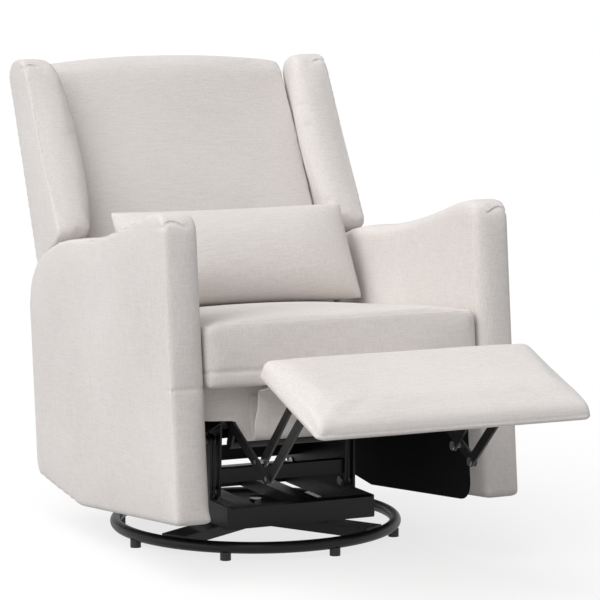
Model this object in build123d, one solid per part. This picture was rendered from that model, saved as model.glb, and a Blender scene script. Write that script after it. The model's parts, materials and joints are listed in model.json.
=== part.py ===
"""Wing-backed swivel glider recliner, modelled with its legrest out and its back upright.

Millimetres, +Z up, the front faces -Y. The origin is on the floor on the swivel axis.
The base and the turntable stand upright. The seat, back and legrest are drawn in a chair frame,
which is pitched back about the X axis through the origin.
"""

import os
from math import cos, hypot, radians, sin

from build123d import *

# Pitch of the upholstered chair on its base, in degrees
SEAT_PITCH = 5.8

# Clearances
RUNNING_CLEARANCE = 0.05
PART_GAP = 0.3
LAYER_GAP = 1.0

# Base ring on the floor
RING_RADIUS = 305.0
RING_TUBE_RADIUS = 12.5
RING_HEIGHT = 27.0
FOOT_COUNT = 8
FOOT_RADIUS = 11.5
FOOT_BITE = 3.0
CROSS_BAR_WIDTH = 60.0
CROSS_BAR_THICK = 22.0
CROSS_BAR_TOP = 44.0
CROSS_BAR_TURN = 31.5

# Swivel bearing
SWIVEL_PLATE_RADIUS = 100.0
SWIVEL_PLATE_THICK = 4.0
BALL_RADIUS = 4.0
BALL_CIRCLE = 80.0
BALL_COUNT = 20
CAGE_THICK = 2.5
CAGE_WIDTH = 18.0
CAGE_CLEARANCE = 0.2
KING_BOLT_RADIUS = 8.0
KING_NUT_RADIUS = 14.0
KING_NUT_HEIGHT = 12.0
KING_BOLT_DEPTH = 14.0

# Turntable frame
TURNTABLE_BAR_X = 75.0
TURNTABLE_BAR_WIDTH = 40.0
TURNTABLE_BAR_HEIGHT = 26.0
GLIDER_RAIL_Y = 222.0
GLIDER_RAIL_DEPTH = 30.0
GLIDER_RAIL_HEIGHT = 44.0

# Glide plates, stacked outwards from the rocker to the link and the stand
GLIDE_PLATE_THICK = 5.0
GLIDE_PLATE_SPACE = 5.5
ROCKER_INNER_X = 145.0
GLIDE_PIVOT_Y = 125.0
GLIDE_PIVOT_TOP = 232.0
GLIDE_LINK_LENGTH = 110.0
GLIDE_LINK_WIDTH = 28.0
GLIDE_PIN_RADIUS = 6.0
GLIDE_SHOULDER_RADIUS = 9.0
GLIDE_HEAD_RADIUS = 10.0
GLIDE_HEAD_THICK = 3.0
STAND_PIVOT_BOSS = 20.0
STAND_FOOT_MARGIN = 4.0
ROCKER_PIVOT_BOSS = 20.0
ROCKER_TUBE_BOSS = 30.0
ROCKER_RAIL_DEPTH = 24.0
ROCKER_RAIL_HEIGHT = 30.0
ROCKER_RAIL_LIFT = 18.0

# Cross tubes of the mechanism, in the chair frame
CROSS_TUBE_RADIUS = 14.0
CROSS_TUBE_WALL = 2.0
CROSS_TUBES = {"front": (-150.0, 256.0), "rear": (185.0, 256.0)}

# Mechanism side plates and seat frame, in the chair frame
LINK_THICK = 5.0
MECHANISM_TOP = 338.0
MECHANISM_BOTTOM = 212.0
MECHANISM_FRONT_Y = -436.0
MECHANISM_REAR_Y = 235.0
MECHANISM_NOSE = 52.0
MECHANISM_BOLT_YS = (-180.0, -20.0, 120.0)
MECHANISM_BOLT_RADIUS = 4.0
MECHANISM_BOLT_HEAD = 7.0
MECHANISM_BOLT_HEAD_THICK = 3.5
MECHANISM_BOLT_GRIP = 15.0
SIDE_RAIL_THICK = 66.0
SIDE_RAIL_HEIGHT = 53.0
END_RAIL_HEIGHT = 22.0
END_RAIL_THICK = 20.0
FRONT_RAIL_Y = -438.0
FRONT_RAIL_THICK = 40.0
FRONT_RAIL_NOTCH = 28.0
REAR_RAIL_Y = 176.0

# Seat springs and deck
SPRING_COUNT = 5
SPRING_SPACING = 100.0
SPRING_WIRE_RADIUS = 2.0
SPRING_WAVE = 22.0
SPRING_PITCH = 32.0
SPRING_BEND = 9.0
DECK_THICK = 5.5

# Seat cushion, in the chair frame
SEAT_SIDE_GAP = 4.0
SEAT_FRONT_Y = -496.0
SEAT_THICK = 150.0
SEAT_REAR_LOW_Y = 100.0
SEAT_REAR_HIGH_Y = 140.0
SEAT_ROUND = 24.0

# Arms, in the chair frame
OVERALL_WIDTH = 775.0
ARM_THICK = 78.0
ARM_FRONT_Y = -493.0
ARM_BOTTOM = 81.5
ARM_PEAK_Z = 703.0
ARM_FRONT_ROUND = 42.0
ARM_CREST = ((-345.0, 689.0), (-195.0, 664.0), (-60.0, 652.5))
ARM_CREST_END = (60.0, 654.0)
ARM_SHOULDER = ((176.0, 636.0), (251.0, 609.0), (297.0, 567.0))
ARM_REAR_TOP = (319.0, 500.0)
ARM_REAR_LOW = (314.0, 152.0)
ARM_HEEL = (298.0, 134.0)
ARM_HEEL_FRONT = (50.0, ARM_BOTTOM)
ARM_EDGE_ROUND = 12.0
ARM_CORE_THICK = 30.0
ARM_CORE_INSET = 24.0
LINING_THICK = 4.0
LINING_FRONT_Y = -425.0
LINING_REAR_Y = 262.0
LINING_BOTTOM = 74.0
LINING_STEP_Y = 40.0
LINING_RISE = 46.0
LINING_CORNER = 40.0

# Back, in the chair frame: its rear plane leans by the recline angle from a point at its foot
BACK_FOOT = (239.5, 385.0)
BACK_LEAN = 17.4
BACK_PANEL_THICK = 5.0
BACK_FRAME_THICK = 20.0
BACK_SIDE_GAP = 3.0
BACK_STILE_WIDTH = 58.0
BACK_FRAME_HEIGHT = 640.0
BACK_RAIL_HEIGHT = 60.0
BACK_MID_RAIL_LIFT = 330.0
BACK_PANEL_HEIGHT = 706.0
BACK_TOP_HEIGHT = 712.0
BACK_CUSHION_LIFT = 20.0
BACK_CUSHION_FOOT_Y = 125.0
BACK_CUSHION_TOP_FRONT = (403.0, 1048.0)
BACK_CUSHION_ROUND = 14.0
WEBBING_COUNT = 5
WEBBING_WIDTH = 50.0
WEBBING_THICK = 2.0
HINGE_DROP = 70.0
HINGE_BRACKET_LENGTH = 170.0
HINGE_BRACKET_WIDTH = 20.0

# Wings, in the chair frame
WING_OVERHANG = 9.5
WING_THICK = 71.0
WING_OUTLINE = (
    (143.0, 662.0),
    (236.0, 852.0),
    (322.0, 1052.0),
    (438.0, 1062.0),
    (292.0, 584.0),
    (251.0, 616.0),
    (176.0, 643.0),
)
WING_BULGE = 26.0
WING_BULGE_OUTLINE = (
    (152.0, 672.0),
    (238.0, 852.0),
    (302.0, 1000.0),
    (374.0, 1000.0),
    (232.0, 672.0),
)
WING_CORNER = 12.0
WING_EDGE_ROUND = 12.0

# Legrest linkage, in the chair frame, with the legrest out
MAIN_PIVOT = (-375.0, 304.0)
KNEE_PIVOT = (-590.0, 172.0)
SHORT_KNEE_BACK = 58.0
SHORT_LINK_END_RADIUS = 7.5
LINK_WIDTH = 22.0
LINK_PIN_RADIUS = 5.0
LINK_HEAD_RADIUS = 9.0
LINK_HEAD_THICK = 2.5
TORQUE_TUBE_RADIUS = 11.0
TORQUE_TUBE_WALL = 2.0
TORQUE_TUBE_ALONG = 72.0
TORQUE_TUBE_BELOW = 40.0

# Footrest, in the chair frame: its rear top edge, its slope and its sizes
FOOTREST_REAR = (-723.0, 416.5)
FOOTREST_SLOPE = 23.5
FOOTREST_LENGTH = 275.0
FOOTREST_INSET = 18.5
FOOTREST_THICK = 38.0
FOOTREST_BOARD_THICK = 12.0
FOOTREST_HEM = 12.0
FOOTREST_ROUND = 18.0
BRACKET_THICK = 3.0
BRACKET_FLANGE = 12.0
BRACKET_END = 14.0
PIVOT_DROP = 18.0
LONG_PIVOT_ALONG = 100.0
SHORT_PIVOT_ALONG = 27.4

# Cloth flap between the seat front and the footrest
FLAP_THICK = 3.0
FLAP_SIDE_GAP = 6.0
FLAP_POINTS = (
    (-442.0, 262.0),
    (-455.0, 238.0),
    (-467.0, 262.0),
    (-468.0, 310.0),
    (-482.0, 334.0),
    (-520.0, 349.0),
    (-600.0, 363.0),
)
FLAP_END_ALONG = 12.0

# Lumbar pillow, in the chair frame
PILLOW_WIDTH = 552.0
PILLOW_HEIGHT = 226.0
PILLOW_THICK = 150.0
PILLOW_CENTRE = (12.0, 72.0)
PILLOW_LEAN = 24.0
PILLOW_END_ROUND = 28.0

# Values that follow from the sizes above
UPRIGHT = Rot(0, 0, 0)
PITCH = Rot(-SEAT_PITCH, 0, 0)
BALL_SEAT_Z = CROSS_BAR_TOP + SWIVEL_PLATE_THICK
UPPER_PLATE_Z = BALL_SEAT_Z + 2 * BALL_RADIUS + PART_GAP
FRAME_Z = UPPER_PLATE_Z + SWIVEL_PLATE_THICK
GLIDE_STEP = GLIDE_PLATE_THICK + GLIDE_PLATE_SPACE
GLIDE_LINK_X = ROCKER_INNER_X + GLIDE_STEP
STAND_X = GLIDE_LINK_X + GLIDE_STEP
GLIDE_PIVOT_LOW = GLIDE_PIVOT_TOP - GLIDE_LINK_LENGTH
ARM_INNER_X = OVERALL_WIDTH / 2 - ARM_THICK
LINING_X = ARM_INNER_X - LINING_THICK
MECHANISM_OUTER_X = LINING_X - SIDE_RAIL_THICK
MECHANISM_INNER_X = MECHANISM_OUTER_X - LINK_THICK
MAIN_LINK_X = MECHANISM_INNER_X - LAYER_GAP - LINK_THICK
LONG_LINK_X = MAIN_LINK_X - LAYER_GAP - LINK_THICK
BRACKET_X = LONG_LINK_X - LAYER_GAP - LINK_THICK
SHORT_LINK_X = BRACKET_X - LAYER_GAP - LINK_THICK
DECK_LOW = MECHANISM_TOP + 2 * SPRING_WIRE_RADIUS
SEAT_BOTTOM = DECK_LOW + DECK_THICK + PART_GAP
SEAT_TOP = SEAT_BOTTOM + SEAT_THICK
SEAT_HALF_WIDTH = ARM_INNER_X - SEAT_SIDE_GAP
WING_INNER_X = ARM_INNER_X - WING_OVERHANG
BACK_HALF_WIDTH = WING_INNER_X - BACK_SIDE_GAP
BACK_FRAME_HALF_WIDTH = MAIN_LINK_X
FOOTREST_HALF_WIDTH = SEAT_HALF_WIDTH - FOOTREST_INSET
FLAP_HALF_WIDTH = SHORT_LINK_X - LINK_HEAD_THICK - FLAP_SIDE_GAP
FOOTREST_BACK_DEPTH = FOOTREST_THICK - FOOTREST_BOARD_THICK
PIVOT_DEPTH = FOOTREST_THICK + PIVOT_DROP


def tilted(y, z):
    """A point of the chair frame, as it stands on the base."""
    turn = radians(SEAT_PITCH)
    return y * cos(turn) + z * sin(turn), z * cos(turn) - y * sin(turn)


def toward(start, end, distance):
    """The point at a distance from start on the way to end."""
    share = distance / hypot(end[0] - start[0], end[1] - start[1])
    return start[0] + share * (end[0] - start[0]), start[1] + share * (end[1] - start[1])


def back_point(up, forward):
    """A point of the chair frame from its height up the back's rear plane and its distance in front."""
    lean = radians(BACK_LEAN)
    y = BACK_FOOT[0] + up * sin(lean) - forward * cos(lean)
    return y, BACK_FOOT[1] + up * cos(lean) + forward * sin(lean)


def footrest_point(along, depth):
    """A point of the chair frame from its distance along the footrest and its depth under the top."""
    slope = radians(FOOTREST_SLOPE)
    y = FOOTREST_REAR[0] - along * cos(slope) + depth * sin(slope)
    return y, FOOTREST_REAR[1] - along * sin(slope) - depth * cos(slope)


def slab(outline, x_from, x_to):
    """An outline drawn on Y and Z, made solid between two places on X."""
    return Pos(x_from, 0, 0) * extrude(Plane.YZ * outline, x_to - x_from)


def polygon(points):
    return make_face(Polyline(*points, close=True))


def disc(point, radius):
    return Pos(*point) * Circle(radius)


def bar(start, end, width):
    """A flat bar with round ends about two pivots."""
    return make_hull([*disc(start, width / 2).edges(), *disc(end, width / 2).edges()])


def rod(point, radius, x_from, x_to):
    return slab(disc(point, radius), x_from, x_to)


def tube(point, radius, wall, half_length):
    ring = disc(point, radius) - disc(point, radius - wall)
    return slab(ring, -half_length, half_length)


def mirrored(shape):
    return mirror(shape, about=Plane.YZ)


def both_sides(shapes):
    """The right-hand shapes and their mirror images."""
    return [half for shape in shapes for half in (shape, mirrored(shape))]


def write(name, shapes, place=UPRIGHT):
    """Write one piece, or a list of alike pieces as a group of separate solids."""
    listed = shapes if isinstance(shapes, list) else [shapes]
    solids = [place * solid for shape in listed for solid in shape.solids()]
    export_step(solids[0] if len(solids) == 1 else Compound(children=solids), f"parts/{name}.step")


def write_pair(name, right, place=UPRIGHT):
    write(f"{name}_right", right, place)
    write(f"{name}_left", mirrored(right), place)


def ring_tube():
    return Pos(0, 0, RING_HEIGHT) * Torus(RING_RADIUS, RING_TUBE_RADIUS)


def base():
    """Ring, cross bars and feet on the floor."""
    ring = ring_tube()
    write("base_ring", ring)
    bar_box = Box(2 * RING_RADIUS, CROSS_BAR_WIDTH, CROSS_BAR_THICK)
    bars = Pos(0, 0, CROSS_BAR_TOP - CROSS_BAR_THICK / 2) * (bar_box + Rot(0, 0, 90) * bar_box)
    bolt_hole = Pos(0, 0, CROSS_BAR_TOP - KING_BOLT_DEPTH / 2) * Cylinder(KING_BOLT_RADIUS, KING_BOLT_DEPTH)
    write("base_cross_bars", Rot(0, 0, CROSS_BAR_TURN) * (bars - bolt_hole) - ring)
    foot_height = RING_HEIGHT - RING_TUBE_RADIUS + FOOT_BITE
    foot = Cylinder(FOOT_RADIUS, foot_height, align=(Align.CENTER, Align.CENTER, Align.MIN))
    first = CROSS_BAR_TURN + 180 / FOOT_COUNT
    spots = [Rot(0, 0, first + 360 / FOOT_COUNT * k) * Pos(RING_RADIUS, 0, 0) for k in range(FOOT_COUNT)]
    write("base_feet", [spot * foot - ring for spot in spots])


def swivel():
    """Two plates with a ball race between them, held by the king bolt."""
    up = (Align.CENTER, Align.CENTER, Align.MIN)
    plate = Cylinder(SWIVEL_PLATE_RADIUS, SWIVEL_PLATE_THICK, align=up)
    plate -= Cylinder(KING_BOLT_RADIUS + RUNNING_CLEARANCE, SWIVEL_PLATE_THICK, align=up)
    write("swivel_lower_plate", Pos(0, 0, CROSS_BAR_TOP) * plate)
    write("swivel_upper_plate", Pos(0, 0, UPPER_PLATE_Z) * plate)
    ball_z = BALL_SEAT_Z + BALL_RADIUS
    spots = [Rot(0, 0, 360 / BALL_COUNT * k) * Pos(BALL_CIRCLE, 0, ball_z) for k in range(BALL_COUNT)]
    write("swivel_balls", [spot * Sphere(BALL_RADIUS) for spot in spots])
    cage_outer, cage_inner = BALL_CIRCLE + CAGE_WIDTH / 2, BALL_CIRCLE - CAGE_WIDTH / 2
    cage = Pos(0, 0, ball_z) * (Cylinder(cage_outer, CAGE_THICK) - Cylinder(cage_inner, CAGE_THICK))
    for spot in spots:
        cage -= spot * Cylinder(BALL_RADIUS + CAGE_CLEARANCE, CAGE_THICK)
    write("swivel_ball_cage", cage)
    nut_z = FRAME_Z + PART_GAP
    shaft_low = CROSS_BAR_TOP - KING_BOLT_DEPTH
    shaft_high = nut_z + KING_NUT_HEIGHT
    shaft = Pos(0, 0, shaft_low) * Cylinder(KING_BOLT_RADIUS, shaft_high - shaft_low, align=up)
    nut_outline = RegularPolygon(KING_NUT_RADIUS, 6) - Circle(KING_BOLT_RADIUS)
    nut = Pos(0, 0, nut_z) * extrude(nut_outline, KING_NUT_HEIGHT)
    write("swivel_king_bolt", [shaft, nut])


def turntable():
    """The frame that turns on the swivel and carries the glide links."""
    up = (Align.CENTER, Align.CENTER, Align.MIN)
    bar_length = 2 * GLIDER_RAIL_Y - GLIDER_RAIL_DEPTH
    one_bar = Pos(TURNTABLE_BAR_X, 0, FRAME_Z) * Box(
        TURNTABLE_BAR_WIDTH, bar_length, TURNTABLE_BAR_HEIGHT, align=up
    )
    write("turntable_bars", both_sides([one_bar]))
    rail = Box(2 * STAND_X, GLIDER_RAIL_DEPTH, GLIDER_RAIL_HEIGHT, align=up)
    write("glider_rail_front", Pos(0, -GLIDER_RAIL_Y, FRAME_Z) * rail)
    write("glider_rail_rear", Pos(0, GLIDER_RAIL_Y, FRAME_Z) * rail)
    write_pair("glider_stand", stand())
    write("glide_upper_pins", glide_pins(GLIDE_PIVOT_TOP, STAND_X, STAND_X + GLIDE_PLATE_THICK, GLIDE_LINK_X))


def stand():
    """One side plate: a low web between the rails with a post up to each pivot."""
    reach = GLIDER_RAIL_Y + GLIDER_RAIL_DEPTH / 2
    web_top = FRAME_Z + GLIDER_RAIL_HEIGHT + STAND_FOOT_MARGIN
    plate = polygon(((-reach, FRAME_Z), (reach, FRAME_Z), (reach, web_top), (-reach, web_top)))
    for y in (-GLIDE_PIVOT_Y, GLIDE_PIVOT_Y):
        foot = (y, web_top - STAND_PIVOT_BOSS)
        plate += bar(foot, (y, GLIDE_PIVOT_TOP), 2 * STAND_PIVOT_BOSS)
        plate -= disc((y, GLIDE_PIVOT_TOP), GLIDE_PIN_RADIUS + RUNNING_CLEARANCE)
    return slab(plate, STAND_X, STAND_X + GLIDE_PLATE_THICK)


def glide_pins(z, held_from, held_to, link_x):
    """Shouldered pins fixed in one plate and running in the glide links beside it."""
    outward = 1 if held_from < link_x else -1
    link_near = link_x if outward > 0 else link_x + GLIDE_PLATE_THICK
    link_far = link_near + outward * (GLIDE_PLATE_THICK + PART_GAP)
    plate_near, plate_far = (held_to, held_from) if outward > 0 else (held_from, held_to)
    pins = []
    for y in (-GLIDE_PIVOT_Y, GLIDE_PIVOT_Y):
        at = (y, z)
        shaft = rod(at, GLIDE_PIN_RADIUS, plate_far, link_far)
        shoulder = rod(at, GLIDE_SHOULDER_RADIUS, plate_near, link_near - outward * PART_GAP)
        far_head = rod(at, GLIDE_HEAD_RADIUS, link_far, link_far + outward * GLIDE_HEAD_THICK)
        near_head = rod(at, GLIDE_HEAD_RADIUS, plate_far, plate_far - outward * GLIDE_HEAD_THICK)
        pins.append(shaft + shoulder + far_head + near_head)
    return both_sides(pins)


def glide_links():
    """Four equal links that hang upright from the stands and carry the rockers."""
    for end, y in (("front", -GLIDE_PIVOT_Y), ("rear", GLIDE_PIVOT_Y)):
        low, top = (y, GLIDE_PIVOT_LOW), (y, GLIDE_PIVOT_TOP)
        plate = bar(low, top, GLIDE_LINK_WIDTH)
        for pivot in (low, top):
            plate -= disc(pivot, GLIDE_PIN_RADIUS + RUNNING_CLEARANCE)
        write_pair(f"glide_link_{end}", slab(plate, GLIDE_LINK_X, GLIDE_LINK_X + GLIDE_PLATE_THICK))


def rockers():
    """The plates that hang on the glide links and carry the mechanism's cross tubes."""
    tubes = [tilted(*centre) for centre in CROSS_TUBES.values()]
    pivots = [(-GLIDE_PIVOT_Y, GLIDE_PIVOT_LOW), (GLIDE_PIVOT_Y, GLIDE_PIVOT_LOW)]
    bosses = [disc(p, ROCKER_PIVOT_BOSS) for p in pivots] + [disc(p, ROCKER_TUBE_BOSS) for p in tubes]
    plate = make_hull([edge for boss in bosses for edge in boss.edges()])
    for pivot in pivots:
        plate -= disc(pivot, GLIDE_PIN_RADIUS + RUNNING_CLEARANCE)
    for centre in tubes:
        plate -= disc(centre, CROSS_TUBE_RADIUS + RUNNING_CLEARANCE)
    write_pair("rocker", slab(plate, ROCKER_INNER_X, ROCKER_INNER_X + GLIDE_PLATE_THICK))
    rail = Box(2 * ROCKER_INNER_X, ROCKER_RAIL_DEPTH, ROCKER_RAIL_HEIGHT)
    rail_z = GLIDE_PIVOT_LOW + ROCKER_RAIL_LIFT + ROCKER_RAIL_HEIGHT / 2
    write("rocker_rail_front", Pos(0, -GLIDE_PIVOT_Y, rail_z) * rail)
    write("rocker_rail_rear", Pos(0, GLIDE_PIVOT_Y, rail_z) * rail)
    rocker_outer = ROCKER_INNER_X + GLIDE_PLATE_THICK
    write("glide_lower_pins", glide_pins(GLIDE_PIVOT_LOW, ROCKER_INNER_X, rocker_outer, GLIDE_LINK_X))


def mechanism():
    """Side plates, cross tubes, bolts and fixed pivot pins of the reclining mechanism."""
    for end, centre in CROSS_TUBES.items():
        pipe = tube(centre, CROSS_TUBE_RADIUS, CROSS_TUBE_WALL, MECHANISM_INNER_X)
        write(f"cross_tube_{end}", pipe, PITCH)
    hinge = back_point(-HINGE_DROP, BACK_FRAME_THICK / 2)
    nose_low = MECHANISM_TOP - MECHANISM_NOSE
    belly_margin = CROSS_TUBE_RADIUS + LINK_WIDTH
    outline = polygon(
        (
            (MECHANISM_FRONT_Y, MECHANISM_TOP),
            (MECHANISM_FRONT_Y, nose_low),
            (CROSS_TUBES["front"][0] - belly_margin, MECHANISM_BOTTOM),
            (CROSS_TUBES["rear"][0] + belly_margin, MECHANISM_BOTTOM),
            (MECHANISM_REAR_Y, nose_low),
            (MECHANISM_REAR_Y, MECHANISM_TOP),
        )
    )
    bolt_z = MECHANISM_TOP - SIDE_RAIL_HEIGHT / 2
    bolts = [(y, bolt_z) for y in MECHANISM_BOLT_YS]
    for pivot in (MAIN_PIVOT, hinge):
        outline -= disc(pivot, LINK_PIN_RADIUS + RUNNING_CLEARANCE)
    for bolt in bolts:
        outline -= disc(bolt, MECHANISM_BOLT_RADIUS + RUNNING_CLEARANCE)
    write_pair("mechanism_plate", slab(outline, MECHANISM_INNER_X, MECHANISM_OUTER_X), PITCH)
    head_x = MECHANISM_INNER_X - MECHANISM_BOLT_HEAD_THICK
    screws = []
    for bolt in bolts:
        shaft = rod(bolt, MECHANISM_BOLT_RADIUS, MECHANISM_INNER_X, MECHANISM_OUTER_X + MECHANISM_BOLT_GRIP)
        screws.append(shaft + rod(bolt, MECHANISM_BOLT_HEAD, head_x, MECHANISM_INNER_X))
    write("mechanism_bolts", both_sides(screws), PITCH)
    pins = [link_pin(pivot, MECHANISM_OUTER_X, MAIN_LINK_X - PART_GAP) for pivot in (MAIN_PIVOT, hinge)]
    write("mechanism_pivot_pins", both_sides(pins), PITCH)


def link_pin(point, x_held, x_head):
    """A rivet with its head at one end, on the side away from the plate that holds it."""
    step = LINK_HEAD_THICK if x_head > x_held else -LINK_HEAD_THICK
    shaft = rod(point, LINK_PIN_RADIUS, x_held, x_head)
    return shaft + rod(point, LINK_HEAD_RADIUS, x_head, x_head + step)


def seat_frame():
    """Wooden rails, wavy springs and the deck pad under the seat cushion."""
    side_low = MECHANISM_TOP - SIDE_RAIL_HEIGHT
    side = polygon(
        (
            (MECHANISM_FRONT_Y, side_low),
            (MECHANISM_REAR_Y, side_low),
            (MECHANISM_REAR_Y, MECHANISM_TOP),
            (MECHANISM_FRONT_Y, MECHANISM_TOP),
        )
    )
    side_rail = slab(side, MECHANISM_OUTER_X, MECHANISM_OUTER_X + SIDE_RAIL_THICK)
    bolt_z = MECHANISM_TOP - SIDE_RAIL_HEIGHT / 2
    for y in MECHANISM_BOLT_YS:
        grip_end = MECHANISM_OUTER_X + MECHANISM_BOLT_GRIP
        side_rail -= rod((y, bolt_z), MECHANISM_BOLT_RADIUS + RUNNING_CLEARANCE, MECHANISM_OUTER_X, grip_end)
    write_pair("seat_rail", side_rail, PITCH)
    low = MECHANISM_TOP - END_RAIL_HEIGHT
    corner = (Align.CENTER, Align.MIN, Align.MIN)
    front_rail = Box(2 * MECHANISM_INNER_X, FRONT_RAIL_THICK, END_RAIL_HEIGHT, align=corner)
    notch_width = MECHANISM_INNER_X - FLAP_HALF_WIDTH
    notch = Box(notch_width, FRONT_RAIL_NOTCH, END_RAIL_HEIGHT, align=corner)
    for notch_x in (FLAP_HALF_WIDTH + notch_width / 2, -FLAP_HALF_WIDTH - notch_width / 2):
        front_rail -= Pos(notch_x, 0, 0) * notch
    write("seat_rail_front", Pos(0, FRONT_RAIL_Y, low) * front_rail, PITCH)
    rear_rail = Box(2 * MECHANISM_INNER_X, END_RAIL_THICK, END_RAIL_HEIGHT, align=corner)
    write("seat_rail_rear", Pos(0, REAR_RAIL_Y, low) * rear_rail, PITCH)
    springs = [seat_spring((k - (SPRING_COUNT - 1) / 2) * SPRING_SPACING) for k in range(SPRING_COUNT)]
    write("seat_springs", springs, PITCH)
    deck_length = REAR_RAIL_Y + END_RAIL_THICK - FRONT_RAIL_Y
    deck = Pos(0, FRONT_RAIL_Y, DECK_LOW) * Box(2 * MECHANISM_INNER_X, deck_length, DECK_THICK, align=corner)
    rear_cut = Pos(0, SEAT_REAR_LOW_Y, DECK_LOW) * Box(
        2 * MECHANISM_INNER_X, deck_length, DECK_THICK, align=corner
    )
    write("seat_deck", deck - rear_cut, PITCH)


def seat_spring(x):
    """One wavy spring wire that lies on the front and rear rails."""
    z = MECHANISM_TOP + SPRING_WIRE_RADIUS
    start = FRONT_RAIL_Y + END_RAIL_THICK / 2
    end = REAR_RAIL_Y + END_RAIL_THICK / 2
    waves = int((end - start) / SPRING_PITCH)
    pitch = (end - start) / waves
    points = [(x, start, z)]
    for k in range(waves):
        side = SPRING_WAVE if k % 2 else -SPRING_WAVE
        points += [(x + side, start + pitch * k, z), (x + side, start + pitch * (k + 1), z)]
    points.append((x, end, z))
    path = FilletPolyline(*points, radius=SPRING_BEND)
    section = Plane(path @ 0, z_dir=path % 0) * Circle(SPRING_WIRE_RADIUS)
    return sweep(section, path=path)


def seat_cushion():
    outline = polygon(
        (
            (SEAT_FRONT_Y, SEAT_BOTTOM),
            (SEAT_REAR_LOW_Y, SEAT_BOTTOM),
            (SEAT_REAR_HIGH_Y, SEAT_TOP),
            (SEAT_FRONT_Y, SEAT_TOP),
        )
    )
    block = slab(outline, -SEAT_HALF_WIDTH, SEAT_HALF_WIDTH)
    upper = block.faces().sort_by(Axis.Z)[-1].edges()
    write("seat_cushion", fillet(upper, SEAT_ROUND), PITCH)


def arm_outline():
    """Side view of an arm: upright front, crest that dips and runs level, round shoulder, cut heel."""
    front_low = (ARM_FRONT_Y, ARM_BOTTOM)
    front_top = (ARM_FRONT_Y, ARM_PEAK_Z - ARM_FRONT_ROUND)
    peak = (ARM_FRONT_Y + ARM_FRONT_ROUND, ARM_PEAK_Z)
    rear_way = (ARM_REAR_LOW[0] - ARM_REAR_TOP[0], ARM_REAR_LOW[1] - ARM_REAR_TOP[1])
    edges = [
        Line(front_low, front_top),
        TangentArc(front_top, peak, tangent=(0, 1)),
        Spline(peak, *ARM_CREST, ARM_CREST_END, *ARM_SHOULDER, ARM_REAR_TOP, tangents=((1, 0), rear_way)),
        Polyline(ARM_REAR_TOP, ARM_REAR_LOW, ARM_HEEL, ARM_HEEL_FRONT, front_low),
    ]
    return make_face(edges)


def arms():
    """Padded arm covers, the plywood core inside each, and the black lining under the seat."""
    core_x = ARM_INNER_X + (ARM_THICK - ARM_CORE_THICK) / 2
    core = polygon(
        (
            (ARM_FRONT_Y + ARM_CORE_INSET, ARM_BOTTOM),
            (ARM_HEEL_FRONT[0], ARM_BOTTOM),
            (ARM_HEEL[0] - ARM_CORE_INSET, ARM_HEEL[1] + ARM_CORE_INSET),
            (ARM_REAR_TOP[0] - 2 * ARM_CORE_INSET, ARM_REAR_TOP[1]),
            (ARM_CREST_END[0], ARM_CREST_END[1] - 2 * ARM_CORE_INSET),
            (ARM_FRONT_Y + ARM_CORE_INSET, ARM_CREST_END[1] - ARM_CORE_INSET),
        )
    )
    board = slab(core, core_x, core_x + ARM_CORE_THICK)
    cover = slab(arm_outline(), ARM_INNER_X, OVERALL_WIDTH / 2)
    side_edges = [e for e in cover.edges() if e.bounding_box().size.X < PART_GAP]
    rims = [e for e in side_edges if e.center().Z > ARM_HEEL[1] + PART_GAP]
    cover = fillet(rims, ARM_EDGE_ROUND) - board
    write_pair("arm_core", board, PITCH)
    write_pair("arm_cover", cover, PITCH)
    lining = polygon(
        (
            (LINING_FRONT_Y, MECHANISM_TOP),
            (LINING_FRONT_Y, LINING_BOTTOM),
            (LINING_STEP_Y, LINING_BOTTOM),
            (LINING_REAR_Y, LINING_BOTTOM + LINING_RISE),
            (LINING_REAR_Y, MECHANISM_TOP),
        )
    )
    lining = fillet(lining.vertices().sort_by_distance((LINING_FRONT_Y, LINING_BOTTOM))[0], LINING_CORNER)
    write_pair("arm_lining", slab(lining, LINING_X, LINING_X + LINING_THICK), PITCH)


def back_board(half_width, low, high, depth_from, depth_to):
    """A board that lies on the back's rear plane, across the whole half width on both sides."""
    outline = [back_point(low, depth_from), back_point(high, depth_from)]
    outline += [back_point(high, depth_to), back_point(low, depth_to)]
    return slab(polygon(outline), -half_width, half_width)


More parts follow.
